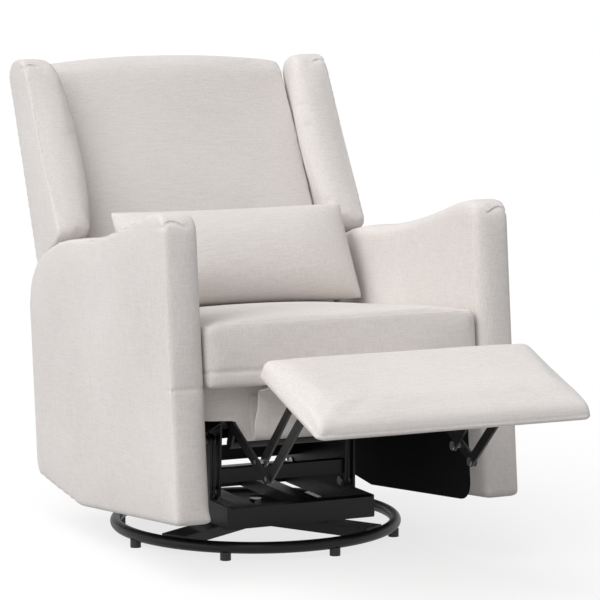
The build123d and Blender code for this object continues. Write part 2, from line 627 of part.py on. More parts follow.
def back():
    """Frame, webbing, cushion, rear panel and hinge brackets of the reclining back."""
    stile_inner = BACK_FRAME_HALF_WIDTH - BACK_STILE_WIDTH
    stile = back_board(BACK_FRAME_HALF_WIDTH, 0, BACK_FRAME_HEIGHT, 0, BACK_FRAME_THICK)
    stile -= back_board(stile_inner, 0, BACK_FRAME_HEIGHT, 0, BACK_FRAME_THICK)
    top_lift = BACK_FRAME_HEIGHT - BACK_RAIL_HEIGHT
    rails = []
    for lift in (0, BACK_MID_RAIL_LIFT, top_lift):
        rail_top = lift + BACK_RAIL_HEIGHT
        rails.append(back_board(stile_inner, lift, rail_top, 0, BACK_FRAME_THICK))
    wing_rails = back_board(WING_INNER_X, top_lift, BACK_FRAME_HEIGHT, 0, BACK_FRAME_THICK)
    wing_rails -= back_board(BACK_FRAME_HALF_WIDTH, top_lift, BACK_FRAME_HEIGHT, 0, BACK_FRAME_THICK)
    write("back_frame", [stile, *rails, wing_rails], PITCH)
    straps = []
    strap_pitch = (top_lift - BACK_RAIL_HEIGHT) / (WEBBING_COUNT + 1)
    for k in range(WEBBING_COUNT):
        low = BACK_RAIL_HEIGHT + strap_pitch * (k + 1) - WEBBING_WIDTH / 2
        depth = BACK_FRAME_THICK - WEBBING_THICK
        strap = back_board(stile_inner, low, low + WEBBING_WIDTH, depth, BACK_FRAME_THICK)
        straps.append(strap - rails[1])
    write("back_webbing", straps, PITCH)
    write("back_outer_panel", back_board(WING_INNER_X, 0, BACK_PANEL_HEIGHT, -BACK_PANEL_THICK, 0), PITCH)
    cushion = polygon(
        (
            back_point(BACK_CUSHION_LIFT, BACK_FRAME_THICK),
            (BACK_CUSHION_FOOT_Y, back_point(BACK_CUSHION_LIFT, BACK_FRAME_THICK)[1]),
            BACK_CUSHION_TOP_FRONT,
            back_point(BACK_TOP_HEIGHT, 0),
            back_point(BACK_FRAME_HEIGHT, 0),
            back_point(BACK_FRAME_HEIGHT, BACK_FRAME_THICK),
        )
    )
    pad = slab(cushion, -BACK_HALF_WIDTH, BACK_HALF_WIDTH)
    front_edges = [e for e in pad.edges() if e.center().Y < back_point(BACK_TOP_HEIGHT, BACK_FRAME_THICK)[0]]
    front_edges = [e for e in front_edges if abs(e.center().Z - BACK_CUSHION_TOP_FRONT[1]) < PART_GAP]
    write("back_cushion", fillet(front_edges, BACK_CUSHION_ROUND), PITCH)
    hinge = back_point(-HINGE_DROP, BACK_FRAME_THICK / 2)
    top = back_point(HINGE_BRACKET_LENGTH - HINGE_DROP, BACK_FRAME_THICK / 2)
    strap = bar(hinge, top, HINGE_BRACKET_WIDTH) - disc(hinge, LINK_PIN_RADIUS + RUNNING_CLEARANCE)
    brackets = slab(strap, BACK_FRAME_HALF_WIDTH, BACK_FRAME_HALF_WIDTH + LINK_THICK)
    write("back_hinge_brackets", both_sides([brackets]), PITCH)


def wings():
    """Padded wings that stand forward of the back just above the arms and swell inwards before it."""
    outline = polygon(WING_OUTLINE)
    outline = fillet(outline.vertices(), WING_CORNER)
    wing = slab(outline, WING_INNER_X, WING_INNER_X + WING_THICK)
    rims = [e for e in wing.edges() if e.center().X > WING_INNER_X + WING_THICK - PART_GAP]
    bulge = slab(polygon(WING_BULGE_OUTLINE), WING_INNER_X - WING_BULGE, WING_INNER_X)
    write_pair("wing", fillet(rims, WING_EDGE_ROUND) + bulge, PITCH)


def legrest_links():
    """Main links with their torque tube, and the long and short links up to the footrest."""
    short_knee = toward(KNEE_PIVOT, MAIN_PIVOT, SHORT_KNEE_BACK)
    on_main = toward(MAIN_PIVOT, KNEE_PIVOT, TORQUE_TUBE_ALONG)
    length = hypot(KNEE_PIVOT[0] - MAIN_PIVOT[0], KNEE_PIVOT[1] - MAIN_PIVOT[1])
    across = ((MAIN_PIVOT[1] - KNEE_PIVOT[1]) / length, (KNEE_PIVOT[0] - MAIN_PIVOT[0]) / length)
    tube_centre = (
        on_main[0] + TORQUE_TUBE_BELOW * across[0],
        on_main[1] + TORQUE_TUBE_BELOW * across[1],
    )
    main = bar(MAIN_PIVOT, KNEE_PIVOT, LINK_WIDTH) + bar(on_main, tube_centre, LINK_WIDTH)
    main -= disc(MAIN_PIVOT, LINK_PIN_RADIUS + RUNNING_CLEARANCE)
    for knee in (KNEE_PIVOT, short_knee):
        main -= disc(knee, LINK_PIN_RADIUS + RUNNING_CLEARANCE)
    write("legrest_main_links", both_sides([slab(main, MAIN_LINK_X, MAIN_LINK_X + LINK_THICK)]), PITCH)
    pipe = tube(tube_centre, TORQUE_TUBE_RADIUS, TORQUE_TUBE_WALL, MAIN_LINK_X)
    write("legrest_torque_tube", pipe, PITCH)
    main_outer = MAIN_LINK_X + LINK_THICK
    knee_pins = [link_pin(KNEE_PIVOT, main_outer, LONG_LINK_X - PART_GAP)]
    knee_pins.append(link_pin(short_knee, main_outer, SHORT_LINK_X - PART_GAP))
    write("legrest_knee_pins", both_sides(knee_pins), PITCH)
    long_top = footrest_point(LONG_PIVOT_ALONG, PIVOT_DEPTH)
    short_top = footrest_point(SHORT_PIVOT_ALONG, PIVOT_DEPTH)
    long_bar = bar(KNEE_PIVOT, long_top, LINK_WIDTH)
    for pivot in (KNEE_PIVOT, long_top):
        long_bar -= disc(pivot, LINK_PIN_RADIUS + RUNNING_CLEARANCE)
    write("legrest_long_links", both_sides([slab(long_bar, LONG_LINK_X, LONG_LINK_X + LINK_THICK)]), PITCH)
    short_ends = [disc(short_knee, LINK_WIDTH / 2), disc(short_top, SHORT_LINK_END_RADIUS)]
    short_bar = make_hull([edge for end in short_ends for edge in end.edges()])
    short_bar -= disc(short_knee, LINK_PIN_RADIUS + RUNNING_CLEARANCE)
    short_link = slab(short_bar, SHORT_LINK_X, SHORT_LINK_X + LINK_THICK)
    short_link += rod(short_top, LINK_PIN_RADIUS, SHORT_LINK_X - LINK_HEAD_THICK, SHORT_LINK_X)
    write("legrest_short_links", both_sides([short_link]), PITCH)


def footrest():
    """Padded board on two brackets that the links carry."""
    def along_depth(along_from, along_to, depth_from, depth_to):
        near = [footrest_point(along_from, depth) for depth in (depth_to, depth_from)]
        far = [footrest_point(along_to, depth) for depth in (depth_from, depth_to)]
        return polygon([*near, *far])

    pad = slab(along_depth(0, FOOTREST_LENGTH, 0, FOOTREST_THICK), -FOOTREST_HALF_WIDTH, FOOTREST_HALF_WIDTH)
    inner = (FOOTREST_HEM, FOOTREST_LENGTH - FOOTREST_HEM)
    board_half = FOOTREST_HALF_WIDTH - FOOTREST_HEM
    board = slab(along_depth(*inner, FOOTREST_BACK_DEPTH, FOOTREST_THICK), -board_half, board_half)
    top_face = max(pad.faces(), key=lambda f: f.center().Z)
    write("footrest_cushion", fillet(top_face.edges(), FOOTREST_ROUND) - board, PITCH)
    write("footrest_board", board, PITCH)
    ear_from = SHORT_PIVOT_ALONG - BRACKET_END
    ear_to = LONG_PIVOT_ALONG + BRACKET_END
    ear_low = PIVOT_DEPTH + LINK_WIDTH / 2
    ear = along_depth(ear_from, ear_to, FOOTREST_THICK, ear_low)
    pivots = [footrest_point(a, PIVOT_DEPTH) for a in (SHORT_PIVOT_ALONG, LONG_PIVOT_ALONG)]
    for pivot in pivots:
        ear -= disc(pivot, LINK_PIN_RADIUS + RUNNING_CLEARANCE)
    flange = along_depth(ear_from, ear_to, FOOTREST_THICK, FOOTREST_THICK + BRACKET_THICK)
    bracket_outer = BRACKET_X + LINK_THICK
    bracket = slab(ear, BRACKET_X, bracket_outer)
    bracket += slab(flange, bracket_outer, bracket_outer + BRACKET_FLANGE)
    write("footrest_brackets", both_sides([bracket]), PITCH)
    long_pin = link_pin(pivots[1], BRACKET_X, LONG_LINK_X + LINK_THICK + PART_GAP)
    short_pin = link_pin(pivots[0], BRACKET_X, bracket_outer)
    write("footrest_pivot_pins", both_sides([long_pin, short_pin]), PITCH)


def flap():
    """Cloth that hangs in a loop from the front rail to the footrest's rear edge."""
    rail_face = FRONT_RAIL_Y - FLAP_THICK / 2
    top = (rail_face, MECHANISM_TOP)
    below = (rail_face, MECHANISM_TOP - END_RAIL_HEIGHT)
    end = footrest_point(FLAP_END_ALONG, FOOTREST_THICK + FLAP_THICK / 2 + PART_GAP)
    before_end = footrest_point(0, FOOTREST_THICK + FLAP_THICK / 2 + PART_GAP)
    finish = (end[0] - before_end[0], end[1] - before_end[1])
    drop = Line(top, below)
    hang = Spline(below, *FLAP_POINTS, end, tangents=((0, -1), finish))
    sheet = trace(drop + hang, FLAP_THICK)
    write("legrest_flap", slab(sheet, -FLAP_HALF_WIDTH, FLAP_HALF_WIDTH), PITCH)


def pillow():
    """Loose lumbar pillow that stands on the seat in front of the back."""
    section = Ellipse(PILLOW_THICK / 2, PILLOW_HEIGHT / 2)
    roll = slab(section, -PILLOW_WIDTH / 2, PILLOW_WIDTH / 2)
    roll = Rot(-PILLOW_LEAN, 0, 0) * fillet(roll.edges().filter_by(GeomType.ELLIPSE), PILLOW_END_ROUND)
    rise = SEAT_TOP + PART_GAP - roll.bounding_box().min.Z
    write("lumbar_pillow", Pos(*PILLOW_CENTRE, rise) * roll, PITCH)


os.makedirs("parts", exist_ok=True)
base()
swivel()
turntable()
glide_links()
rockers()
mechanism()
seat_frame()
seat_cushion()
arms()
back()
wings()
legrest_links()
footrest()
flap()
pillow()
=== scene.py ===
"""Off-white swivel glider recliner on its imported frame: padded covers, cloth, finishes and studio."""

import json
from math import cos, hypot, pi, radians, sin

import bmesh
import bpy
import numpy as np
from mathutils import Matrix, Vector


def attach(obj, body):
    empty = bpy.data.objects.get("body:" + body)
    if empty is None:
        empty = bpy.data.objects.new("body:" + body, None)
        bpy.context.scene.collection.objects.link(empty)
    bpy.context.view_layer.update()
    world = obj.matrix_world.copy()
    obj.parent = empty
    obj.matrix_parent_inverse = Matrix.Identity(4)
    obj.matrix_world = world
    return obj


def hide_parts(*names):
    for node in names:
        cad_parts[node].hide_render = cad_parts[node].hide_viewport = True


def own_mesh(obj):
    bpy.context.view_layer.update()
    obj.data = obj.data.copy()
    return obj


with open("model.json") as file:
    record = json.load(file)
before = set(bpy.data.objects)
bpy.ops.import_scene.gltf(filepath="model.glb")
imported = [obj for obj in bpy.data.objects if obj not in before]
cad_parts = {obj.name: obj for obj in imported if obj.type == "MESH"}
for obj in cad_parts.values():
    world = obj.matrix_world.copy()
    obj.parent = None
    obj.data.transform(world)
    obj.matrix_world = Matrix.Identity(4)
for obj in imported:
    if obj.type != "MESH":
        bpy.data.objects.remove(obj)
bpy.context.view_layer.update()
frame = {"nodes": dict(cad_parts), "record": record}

# Lengths below are millimetres in the chair frame, which is pitched back on the base
MM = 0.001
CHAIR_PITCH = radians(5.8)
TO_ROW = Matrix.Rotation(-CHAIR_PITCH, 4, "X")

# Blowing up the padded covers
PUFF_PRESSURE, PUFF_STEPS = 4.0, 20

# Arms
ARM_INNER_X, ARM_OUTER_X = 309.5, 387.5
ARM_SIDE = [
    (-495, 81.5), (-495, 250), (-495, 420), (-495, 560), (-495, 655), (-492, 677), (-483, 692), (-468, 701),
    (-451, 704), (-430, 703), (-405, 699.5), (-376, 695), (-345, 689.5), (-300, 681.5), (-250, 673),
    (-195, 665), (-130, 657.5), (-60, 653.5), (0, 654), (60, 654), (118, 648.5), (176, 636.5), (215, 625),
    (251, 609.5), (278, 589), (297, 567), (310, 540), (319, 500), (317, 300), (314, 160), (309, 144),
    (298, 134), (180, 108.5), (50, 81.5), (-220, 81.5),
]
ARM_EDGE_POINTS = 33
ARM_FRONT_SEAM_Z = 352

# Wings
WING_INNER_X, WING_OUTER_X = 300.0, 371.0
WING_SIDE = [
    (146, 668), (170, 718), (203, 785), (236, 852), (266, 920), (296, 990), (312, 1024), (323, 1042),
    (337, 1053), (357, 1059), (382, 1059), (404, 1053), (420, 1042), (428, 1027), (426, 1012), (404, 948),
    (355, 790), (314, 655), (300, 609), (293, 592), (286, 588), (275, 597), (251, 616), (215, 630),
    (176, 643.5), (155, 656),
]
WING_BOW = 30

# Seat cushion
SEAT_HALF_WIDTH = 306
SEAT_FRONT_Y, SEAT_REAR_Y = -494, 116
SEAT_LOW_Z, SEAT_HIGH_Z = 348.5, 489
SEAT_TOP_SEAM_Z, SEAT_LOW_SEAM_Z = 479, 382
SEAT_SIDE_FALL = 12

# Back cushion, and the foot and top of its front as depth and height
BACK_HALF_WIDTH = 296.5
BACK_SIDE = [
    (239, 410), (128, 410), (148, 455), (205, 588), (262, 720), (319, 852), (370, 970), (394, 1028),
    (402, 1047), (413, 1060), (428, 1067), (446, 1066), (452, 1061), (430, 990),
]
BACK_CORNER_FALL = 14
BACK_FRONT_FOOT, BACK_FRONT_TOP = (125, 404), (403, 1048)

# Outer back cloth: foot of the frame, lean, ends along it, and its line as places across and behind the frame
OUTER_BACK_FOOT = (0, 239.5, 385)
OUTER_BACK_LEAN = radians(17.4)
OUTER_BACK_LOW, OUTER_BACK_HIGH, OUTER_BACK_FALL = 2, 704, 26
OUTER_BACK_LINE = [
    (-301.2, -8.5), (-301.2, 1.5), (-300.6, 3), (-299.3, 4), (-297.5, 4.4),
    (297.5, 4.4), (299.3, 4), (300.6, 3), (301.2, 1.5), (301.2, -8.5),
]
OUTER_BACK_TURN, OUTER_BACK_TURN_DEPTH = 14, 3.2

# Footrest cushion: rear top edge, slope and sizes, and how far its cloth stands proud of its board
FOOTREST_REAR = (-723.0, 416.5)
FOOTREST_SLOPE = radians(23.5)
FOOTREST_LENGTH, FOOTREST_THICK, FOOTREST_HALF_WIDTH = 275, 38, 287
FOOTREST_FRONT_SEAM = -26
FOOTREST_EASE = 7

# Lumbar pillow
PILLOW_HALF_WIDTH, PILLOW_HALF_HEIGHT, PILLOW_HALF_THICK = 278, 117, 74
PILLOW_MIDDLE = (17, 72, 601)
PILLOW_LEAN = radians(24)

# Folds of cloth across the front tops of the arms and wings, as places across and up
ARM_TUCK = [(386, 678), (380, 685), (370, 689), (359, 687), (350, 683), (341, 678)]
WING_TUCK = [(370, 1040), (362, 1045), (352, 1046), (341, 1042)]
EDGE_RADIUS, EDGE_SINK, TUCK_SINK = 1.4, 0.9, 0.4
TUCK_SHADE = 3.5

# Cloth flap and front band
FLAP_LINE = [(-442, 330), (-442, 300), (-442.5, 270), (-445, 250), (-450, 241), (-457, 238.5), (-464, 243),
             (-467, 256), (-467.5, 290), (-468, 312), (-472, 326), (-482, 335), (-505, 343.5), (-560, 355),
             (-620, 366), (-670, 373.5), (-700, 377.5), (-712, 376.5)]
FLAP_HALF_WIDTH = 202
CLOTH_THICK = 1.4
BAND_HALF_WIDTH, BAND_LOW_Z, BAND_HIGH_Z, BAND_Y = 303, 236, 350, -439.2
BAND_SEAM_Z = 289
BAND_SIDE = [(236, 220), (250, 224), (277, 226), (280, 240), (282.5, 296), (288, 302), (350, 303)]

# Cloth over the front ends of the side rails: middle across and up, half width, half height and depth
TAB_MIDDLE_X, TAB_MIDDLE_Z, TAB_HALF_WIDTH, TAB_HALF_HEIGHT, TAB_Y = 272.5, 311, 31.5, 28, -436.9

# Sheet stretched behind the seat that closes the rear; its black lining colour is painted shade for the
# shaded inside of the rear panel
COVER_HALF_WIDTH, COVER_LOW_Z, COVER_HIGH_Z, COVER_Y = 305, 185, 366, 260.5


def deselect():
    if bpy.context.object and bpy.context.object.mode != "OBJECT":
        bpy.ops.object.mode_set(mode="OBJECT")
    bpy.ops.object.select_all(action="DESELECT")


def only(piece):
    deselect()
    piece.select_set(True)
    bpy.context.view_layer.objects.active = piece


def apply_modifier(piece, kind, **values):
    modifier = piece.modifiers.new(kind.lower(), kind)
    for key, value in values.items():
        setattr(modifier, key, value)
    only(piece)
    bpy.ops.object.modifier_apply(modifier=modifier.name)


def points_of(piece):
    flat = np.empty(3 * len(piece.data.vertices), np.float32)
    piece.data.vertices.foreach_get("co", flat)
    return flat.reshape(-1, 3).astype(float) / MM


def normals_of(piece):
    flat = np.empty(3 * len(piece.data.vertices), np.float32)
    piece.data.vertices.foreach_get("normal", flat)
    return flat.reshape(-1, 3).astype(float)


def place_points(piece, points):
    piece.data.vertices.foreach_set("co", (points * MM).astype(np.float32).ravel())
    piece.data.update()


def outline_distance(points, outline, closed=True):
    """How far points on Y and Z are from an outline, in mm."""
    yz = points[:, 1:]
    best = np.full(len(yz), 1e9)
    ends = outline[1:] + (outline[:1] if closed else [])
    for a, b in zip(outline, ends):
        a, b = np.array(a, float), np.array(b, float)
        along = np.clip(((yz - a) @ (b - a)) / ((b - a) @ (b - a)), 0, 1)
        best = np.minimum(best, np.linalg.norm(yz - a - along[:, None] * (b - a), axis=1))
    return best


def front_spots(piece, places, sink):
    """Points on a piece's front, under places across and up, sunk a little into it."""
    spots = []
    for x, z in places:
        hit, spot, normal, _ = piece.ray_cast(Vector((x, -900, z)) * MM, Vector((0, 1, 0)))
        if hit:
            spots.append((spot - normal * sink * MM) / MM)
    return spots


def near_spots(piece, places, sink):
    """The points of a piece's surface that are nearest to places, sunk a little into it."""
    spots = []
    for place in places:
        _, spot, normal, _ = piece.closest_point_on_mesh(Vector(place) * MM)
        spots.append((spot - normal * sink * MM) / MM)
    return spots


def line_distance(points, line):
    """How far points are from a line drawn across and up, in mm."""
    flat = np.stack([np.zeros(len(points)), points[:, 0], points[:, 2]], 1)
    return outline_distance(flat, line, closed=False)


def outline_slab(name, outline, x_from, x_to):
    """A side outline, filled and extruded across the chair."""
    deselect()
    bpy.ops.mesh.primitive_circle_add(vertices=len(outline), fill_type="NGON")
    piece = bpy.context.object
    piece.name = name
    for vertex, (y, z) in zip(piece.data.vertices, outline):
        vertex.co = Vector((x_from, y, z)) * MM
    bpy.ops.object.mode_set(mode="EDIT")
    bpy.ops.mesh.select_all(action="SELECT")
    bpy.ops.mesh.extrude_region_move(TRANSFORM_OT_translate={"value": ((x_to - x_from) * MM, 0, 0)})
    bpy.ops.mesh.select_all(action="SELECT")
    bpy.ops.mesh.normals_make_consistent(inside=False)
    bpy.ops.object.mode_set(mode="OBJECT")
    return piece


def block(name, low, high):
    """A box between two corners."""
    deselect()
    low, high = Vector(low), Vector(high)
    bpy.ops.mesh.primitive_cube_add(size=MM, location=(low + high) / 2 * MM)
    piece = bpy.context.object
    piece.name = name
    piece.scale = high - low
    bpy.ops.object.transform_apply(location=True, rotation=True, scale=True)
    return piece


def grid_sheet(name, columns, rows):
    """A flat grid with its corners at -1 and 1, and its points' places."""
    deselect()
    bpy.ops.mesh.primitive_grid_add(x_subdivisions=columns, y_subdivisions=rows, size=2)
    sheet = bpy.context.object
    sheet.name = name
    return sheet, points_of(sheet) * MM


def line_steps(line):
    """The length along a line at each of its points."""
    steps = [0.0]
    for start, end in zip(line, line[1:]):
        steps.append(steps[-1] + hypot(end[0] - start[0], end[1] - start[1]))
    return steps


def round_edges(piece, width, chosen, segments=5):
    only(piece)
    bpy.ops.object.mode_set(mode="EDIT")
    bpy.ops.mesh.select_mode(type="EDGE")
    bpy.ops.mesh.select_all(action="DESELECT")
    mesh = bmesh.from_edit_mesh(piece.data)
    for edge in mesh.edges:
        middle = (edge.verts[0].co + edge.verts[1].co) / 2 / MM
        way = (edge.verts[1].co - edge.verts[0].co).normalized()
        edge.select = chosen(middle, way)
    mesh.select_flush_mode()
    bmesh.update_edit_mesh(piece.data)
    bpy.ops.mesh.bevel(offset=width * MM, segments=segments, profile=0.5)
    bpy.ops.object.mode_set(mode="OBJECT")


def soften(piece, chosen, rounds):
    """Smooth the points that a test on their places picks."""
    only(piece)
    mask = chosen(points_of(piece))
    bpy.ops.object.mode_set(mode="EDIT")
    bpy.ops.mesh.select_mode(type="VERT")
    bpy.ops.mesh.select_all(action="DESELECT")
    bpy.ops.object.mode_set(mode="OBJECT")
    piece.data.vertices.foreach_set("select", mask)
    bpy.ops.object.mode_set(mode="EDIT")
    bpy.ops.mesh.vertices_smooth(factor=0.5, repeat=rounds)
    bpy.ops.object.mode_set(mode="OBJECT")


def remesh(piece, voxel):
    apply_modifier(piece, "REMESH", mode="VOXEL", voxel_size=voxel * MM)


def puff(piece, held, cap):
    """Blow the cover up between the points that its seams and its frame hold."""
    start = points_of(piece)
    group = piece.vertex_groups.new(name="held")
    group.add(np.flatnonzero(held(start)).tolist(), 1.0, "REPLACE")
    cloth = piece.modifiers.new("cloth", "CLOTH")
    cloth.settings.quality = 3
    cloth.settings.use_pressure = True
    cloth.settings.uniform_pressure_force = PUFF_PRESSURE
    cloth.settings.effector_weights.gravity = 0
    cloth.settings.vertex_group_mass = "held"
    cloth.point_cache.frame_start, cloth.point_cache.frame_end = 1, PUFF_STEPS
    for step in range(1, PUFF_STEPS + 1):
        bpy.context.scene.frame_set(step)
    only(piece)
    bpy.ops.object.modifier_apply(modifier=cloth.name)
    piece.vertex_groups.clear()
    bpy.context.scene.frame_set(1)
    move = points_of(piece) - start
    length = np.linalg.norm(move, axis=1)
    share = np.tanh(length / cap) * cap / np.maximum(length, 1e-6)
    place_points(piece, start + move * share[:, None])


def refine(piece):
    apply_modifier(piece, "SUBSURF", levels=1, render_levels=1)


def press(piece, amount):
    """Move points along their normals by amounts in mm, outwards where positive."""
    points = points_of(piece)
    place_points(piece, points + normals_of(piece) * amount(points)[:, None])


def back_front(z):
    """The depth of the back's front at heights."""
    (foot_y, foot_z), (top_y, top_z) = BACK_FRONT_FOOT, BACK_FRONT_TOP
    return foot_y + (top_y - foot_y) * (z - foot_z) / (top_z - foot_z)


def valley(distance, depth, width):
    return -depth * np.exp(-((distance / width) ** 2))


def settle(piece, body, slot):
    """Pitch a finished piece back with the chair, give it its finish and let it ride."""
    piece.data.transform(TO_ROW)
    only(piece)
    bpy.ops.object.shade_smooth()
    piece.data.materials.clear()
    piece.data.materials.append(finishes[slot])
    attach(piece, body)
    return piece


def mirror_copy(piece, name):
    only(piece)
    bpy.ops.object.duplicate()
    twin = bpy.context.object
    twin.name = name
    twin.data.transform(Matrix.Scale(-1, 4, (1, 0, 0)))
    bpy.ops.object.mode_set(mode="EDIT")
    bpy.ops.mesh.select_all(action="SELECT")
    bpy.ops.mesh.flip_normals()
    bpy.ops.object.mode_set(mode="OBJECT")
    return twin


def settle_pair(pieces, body, cover):
    """Settle a pad and its sewn lines on the right, and their mirror images on the left."""
    twins = [mirror_copy(piece, piece.name.replace("right", "left")) for piece in pieces]
    for side, (pad, *lines) in (("right", pieces), ("left", twins)):
        settle(pad, body, "linen")
        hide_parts(f"{cover}_{side}")
        for line in lines:
            settle(line, body, "linen")


def welt(name, points, radius, closed=False):
    """A thin sewn ridge along points, as a mesh."""
    deselect()
    curve = bpy.data.curves.new(name, "CURVE")
    curve.dimensions = "3D"
    curve.bevel_depth = radius * MM
    curve.bevel_resolution = 2
    curve.use_fill_caps = True
    spline = curve.splines.new("NURBS")
    spline.points.add(len(points) - 1)
    for spot, place in zip(spline.points, points):
        spot.co = (*(Vector(place) * MM), 1)
    spline.use_cyclic_u = closed
    spline.order_u = 3
    spline.use_endpoint_u = not closed
    spline.resolution_u = 4
    ridge = bpy.data.objects.new(name, curve)
    bpy.context.collection.objects.link(ridge)
    only(ridge)
    bpy.ops.object.convert(target="MESH")
    return bpy.context.object


class Nodes:
    """Short words for building one material's node tree."""

    def __init__(self, name):
        self.material = bpy.data.materials.new(name)
        self.material.use_nodes = True
        self.tree = self.material.node_tree
        self.tree.nodes.clear()
        self.out = self.add("ShaderNodeOutputMaterial")
        self.shader = self.add("ShaderNodeBsdfPrincipled")
        self.link(self.shader.outputs["BSDF"], self.out.inputs["Surface"])
        self.place = self.add("ShaderNodeTexCoord").outputs["Object"]

    def add(self, kind, **values):
        node = self.tree.nodes.new(kind)
        for key, value in values.items():
            setattr(node, key, value)
        return node

    def link(self, a, b):
        self.tree.links.new(a, b)

    def stretched(self, scale, turn=(0, 0, 0)):
        mapping = self.add("ShaderNodeMapping")
        mapping.inputs["Rotation"].default_value = turn
        mapping.inputs["Scale"].default_value = scale
        self.link(self.place, mapping.inputs["Vector"])
        return mapping.outputs["Vector"]

    def noise(self, vector, scale, detail=2.0, rough=0.5):
        node = self.add("ShaderNodeTexNoise")
        node.inputs["Scale"].default_value = scale
        node.inputs["Detail"].default_value = detail
        node.inputs["Roughness"].default_value = rough
        self.link(vector, node.inputs["Vector"])
        return node.outputs["Fac"]

    def math(self, operation, a, b=None):
        node = self.add("ShaderNodeMath", operation=operation)
        for socket, value in zip(node.inputs, (a, b)):
            if isinstance(value, (int, float)):
                socket.default_value = value
            elif value is not None:
                self.link(value, socket)
        return node.outputs[0]

    def ramp(self, factor, *stops):
        node = self.add("ShaderNodeValToRGB")
        while len(node.color_ramp.elements) < len(stops):
            node.color_ramp.elements.new(0.5)
        for element, (position, colour) in zip(node.color_ramp.elements, stops):
            element.position = position
            element.color = (*colour, 1)
        self.link(factor, node.inputs["Fac"])
        return node.outputs["Color"]

    def span(self, factor, low, high):
        node = self.add("ShaderNodeMapRange")
        node.inputs["To Min"].default_value = low
        node.inputs["To Max"].default_value = high
        self.link(factor, node.inputs["Value"])
        return node.outputs["Result"]

    def bump(self, height, strength, distance):
        node = self.add("ShaderNodeBump")
        node.inputs["Strength"].default_value = strength
        node.inputs["Distance"].default_value = distance
        self.link(height, node.inputs["Height"])
        self.link(node.outputs["Normal"], self.shader.inputs["Normal"])

    def set(self, **values):
        for key, value in values.items():
            self.shader.inputs[key.replace("_", " ")].default_value = value


def linen():
    """Off-white plain weave: slubs along both threads, a fine weave and slow changes of tone."""
    n = Nodes("off_white_linen")
    chair = (CHAIR_PITCH, 0, 0)
    slubs = [n.noise(n.stretched(s, chair), 1.0, 2.0, 0.6)
             for s in ((28, 430, 430), (430, 28, 430), (430, 430, 28))]
    slub = n.math("MULTIPLY", n.math("ADD", n.math("ADD", slubs[0], slubs[1]), slubs[2]), 1 / 3)
    threads = n.add("ShaderNodeSeparateXYZ")
    n.link(n.stretched((5200, 5200, 5200), chair), threads.inputs[0])
    waves = [n.math("SINE", threads.outputs[k]) for k in range(3)]
    crossings = [n.math("MULTIPLY", waves[a], waves[b]) for a, b in ((0, 1), (1, 2), (2, 0))]
    weave = n.math("ADD", n.math("ADD", crossings[0], crossings[1]), crossings[2])
    slow = n.noise(n.place, 2.6, 3.0)
    tone = n.math("ADD", n.math("MULTIPLY", slub, 0.75), n.math("MULTIPLY", slow, 0.25))
    dark, middle, pale = (0.605, 0.567, 0.545), (0.705, 0.668, 0.645), (0.775, 0.742, 0.722)
    n.link(n.ramp(tone, (0.36, dark), (0.5, middle), (0.64, pale)), n.shader.inputs["Base Color"])
    n.link(n.span(slub, 0.8, 0.95), n.shader.inputs["Roughness"])
    height = n.math("ADD", n.math("MULTIPLY", weave, 0.12), slub)
    n.bump(height, 0.35, 0.0008)
    n.set(Sheen_Weight=0.15, Sheen_Roughness=0.45, Specular_IOR_Level=0.2)
    return n.material


def black_steel():
    """Satin black powder coat with a fine pebble and a little dust."""
    n = Nodes("black_powder_coat")
    pebble = n.noise(n.place, 900, 3.0, 0.6)
    dust = n.noise(n.place, 14, 4.0, 0.65)
    coat = n.ramp(dust, (0.3, (0.004, 0.004, 0.0045)), (0.75, (0.011, 0.0105, 0.0105)))
    n.link(coat, n.shader.inputs["Base Color"])
    n.link(n.span(dust, 0.32, 0.52), n.shader.inputs["Roughness"])
    n.bump(pebble, 0.18, 0.0006)
    n.set(Specular_IOR_Level=0.3)
    return n.material


def zinc():
    n = Nodes("zinc_plate")
    streak = n.noise(n.stretched((60, 500, 500)), 1.0, 3.0, 0.6)
    n.link(n.ramp(streak, (0.3, (0.34, 0.34, 0.35)), (0.7, (0.6, 0.6, 0.61))), n.shader.inputs["Base Color"])
    n.link(n.span(streak, 0.25, 0.45), n.shader.inputs["Roughness"])
    n.bump(streak, 0.1, 0.0003)
    n.set(Metallic=1.0)
    return n.material


def timber():
    """Bare pale softwood with growth lines along the rails and saw marks."""
    n = Nodes("bare_timber")
    grain = n.noise(n.stretched((9, 130, 130)), 1.0, 4.0, 0.6)
    fine = n.noise(n.stretched((40, 900, 900)), 1.0, 3.0, 0.6)
    mix = n.math("ADD", n.math("MULTIPLY", grain, 0.7), n.math("MULTIPLY", fine, 0.3))
    n.link(n.ramp(mix, (0.33, (0.33, 0.2, 0.1)), (0.5, (0.5, 0.34, 0.19)), (0.68, (0.62, 0.46, 0.28))),
           n.shader.inputs["Base Color"])
    n.link(n.span(mix, 0.55, 0.8), n.shader.inputs["Roughness"])
    n.bump(mix, 0.3, 0.0006)
    return n.material


def lining():
    """Black spun lining with short fibres."""
    n = Nodes("black_lining")
    fibre = n.noise(n.stretched((260, 900, 260)), 1.0, 4.0, 0.7)
    black = n.ramp(fibre, (0.3, (0.0035, 0.0035, 0.004)), (0.7, (0.014, 0.014, 0.0145)))
    n.link(black, n.shader.inputs["Base Color"])
    n.link(n.span(fibre, 0.75, 0.95), n.shader.inputs["Roughness"])
    n.bump(fibre, 0.3, 0.0006)
    n.set(Specular_IOR_Level=0.1)
    return n.material


def black_plastic():
    n = Nodes("black_glide_plastic")
    fine = n.noise(n.place, 1400, 3.0, 0.6)
    black = n.ramp(fine, (0.3, (0.010, 0.010, 0.010)), (0.7, (0.028, 0.028, 0.028)))
    n.link(black, n.shader.inputs["Base Color"])
    n.link(n.span(fine, 0.45, 0.65), n.shader.inputs["Roughness"])
    n.bump(fine, 0.2, 0.0004)
    return n.material


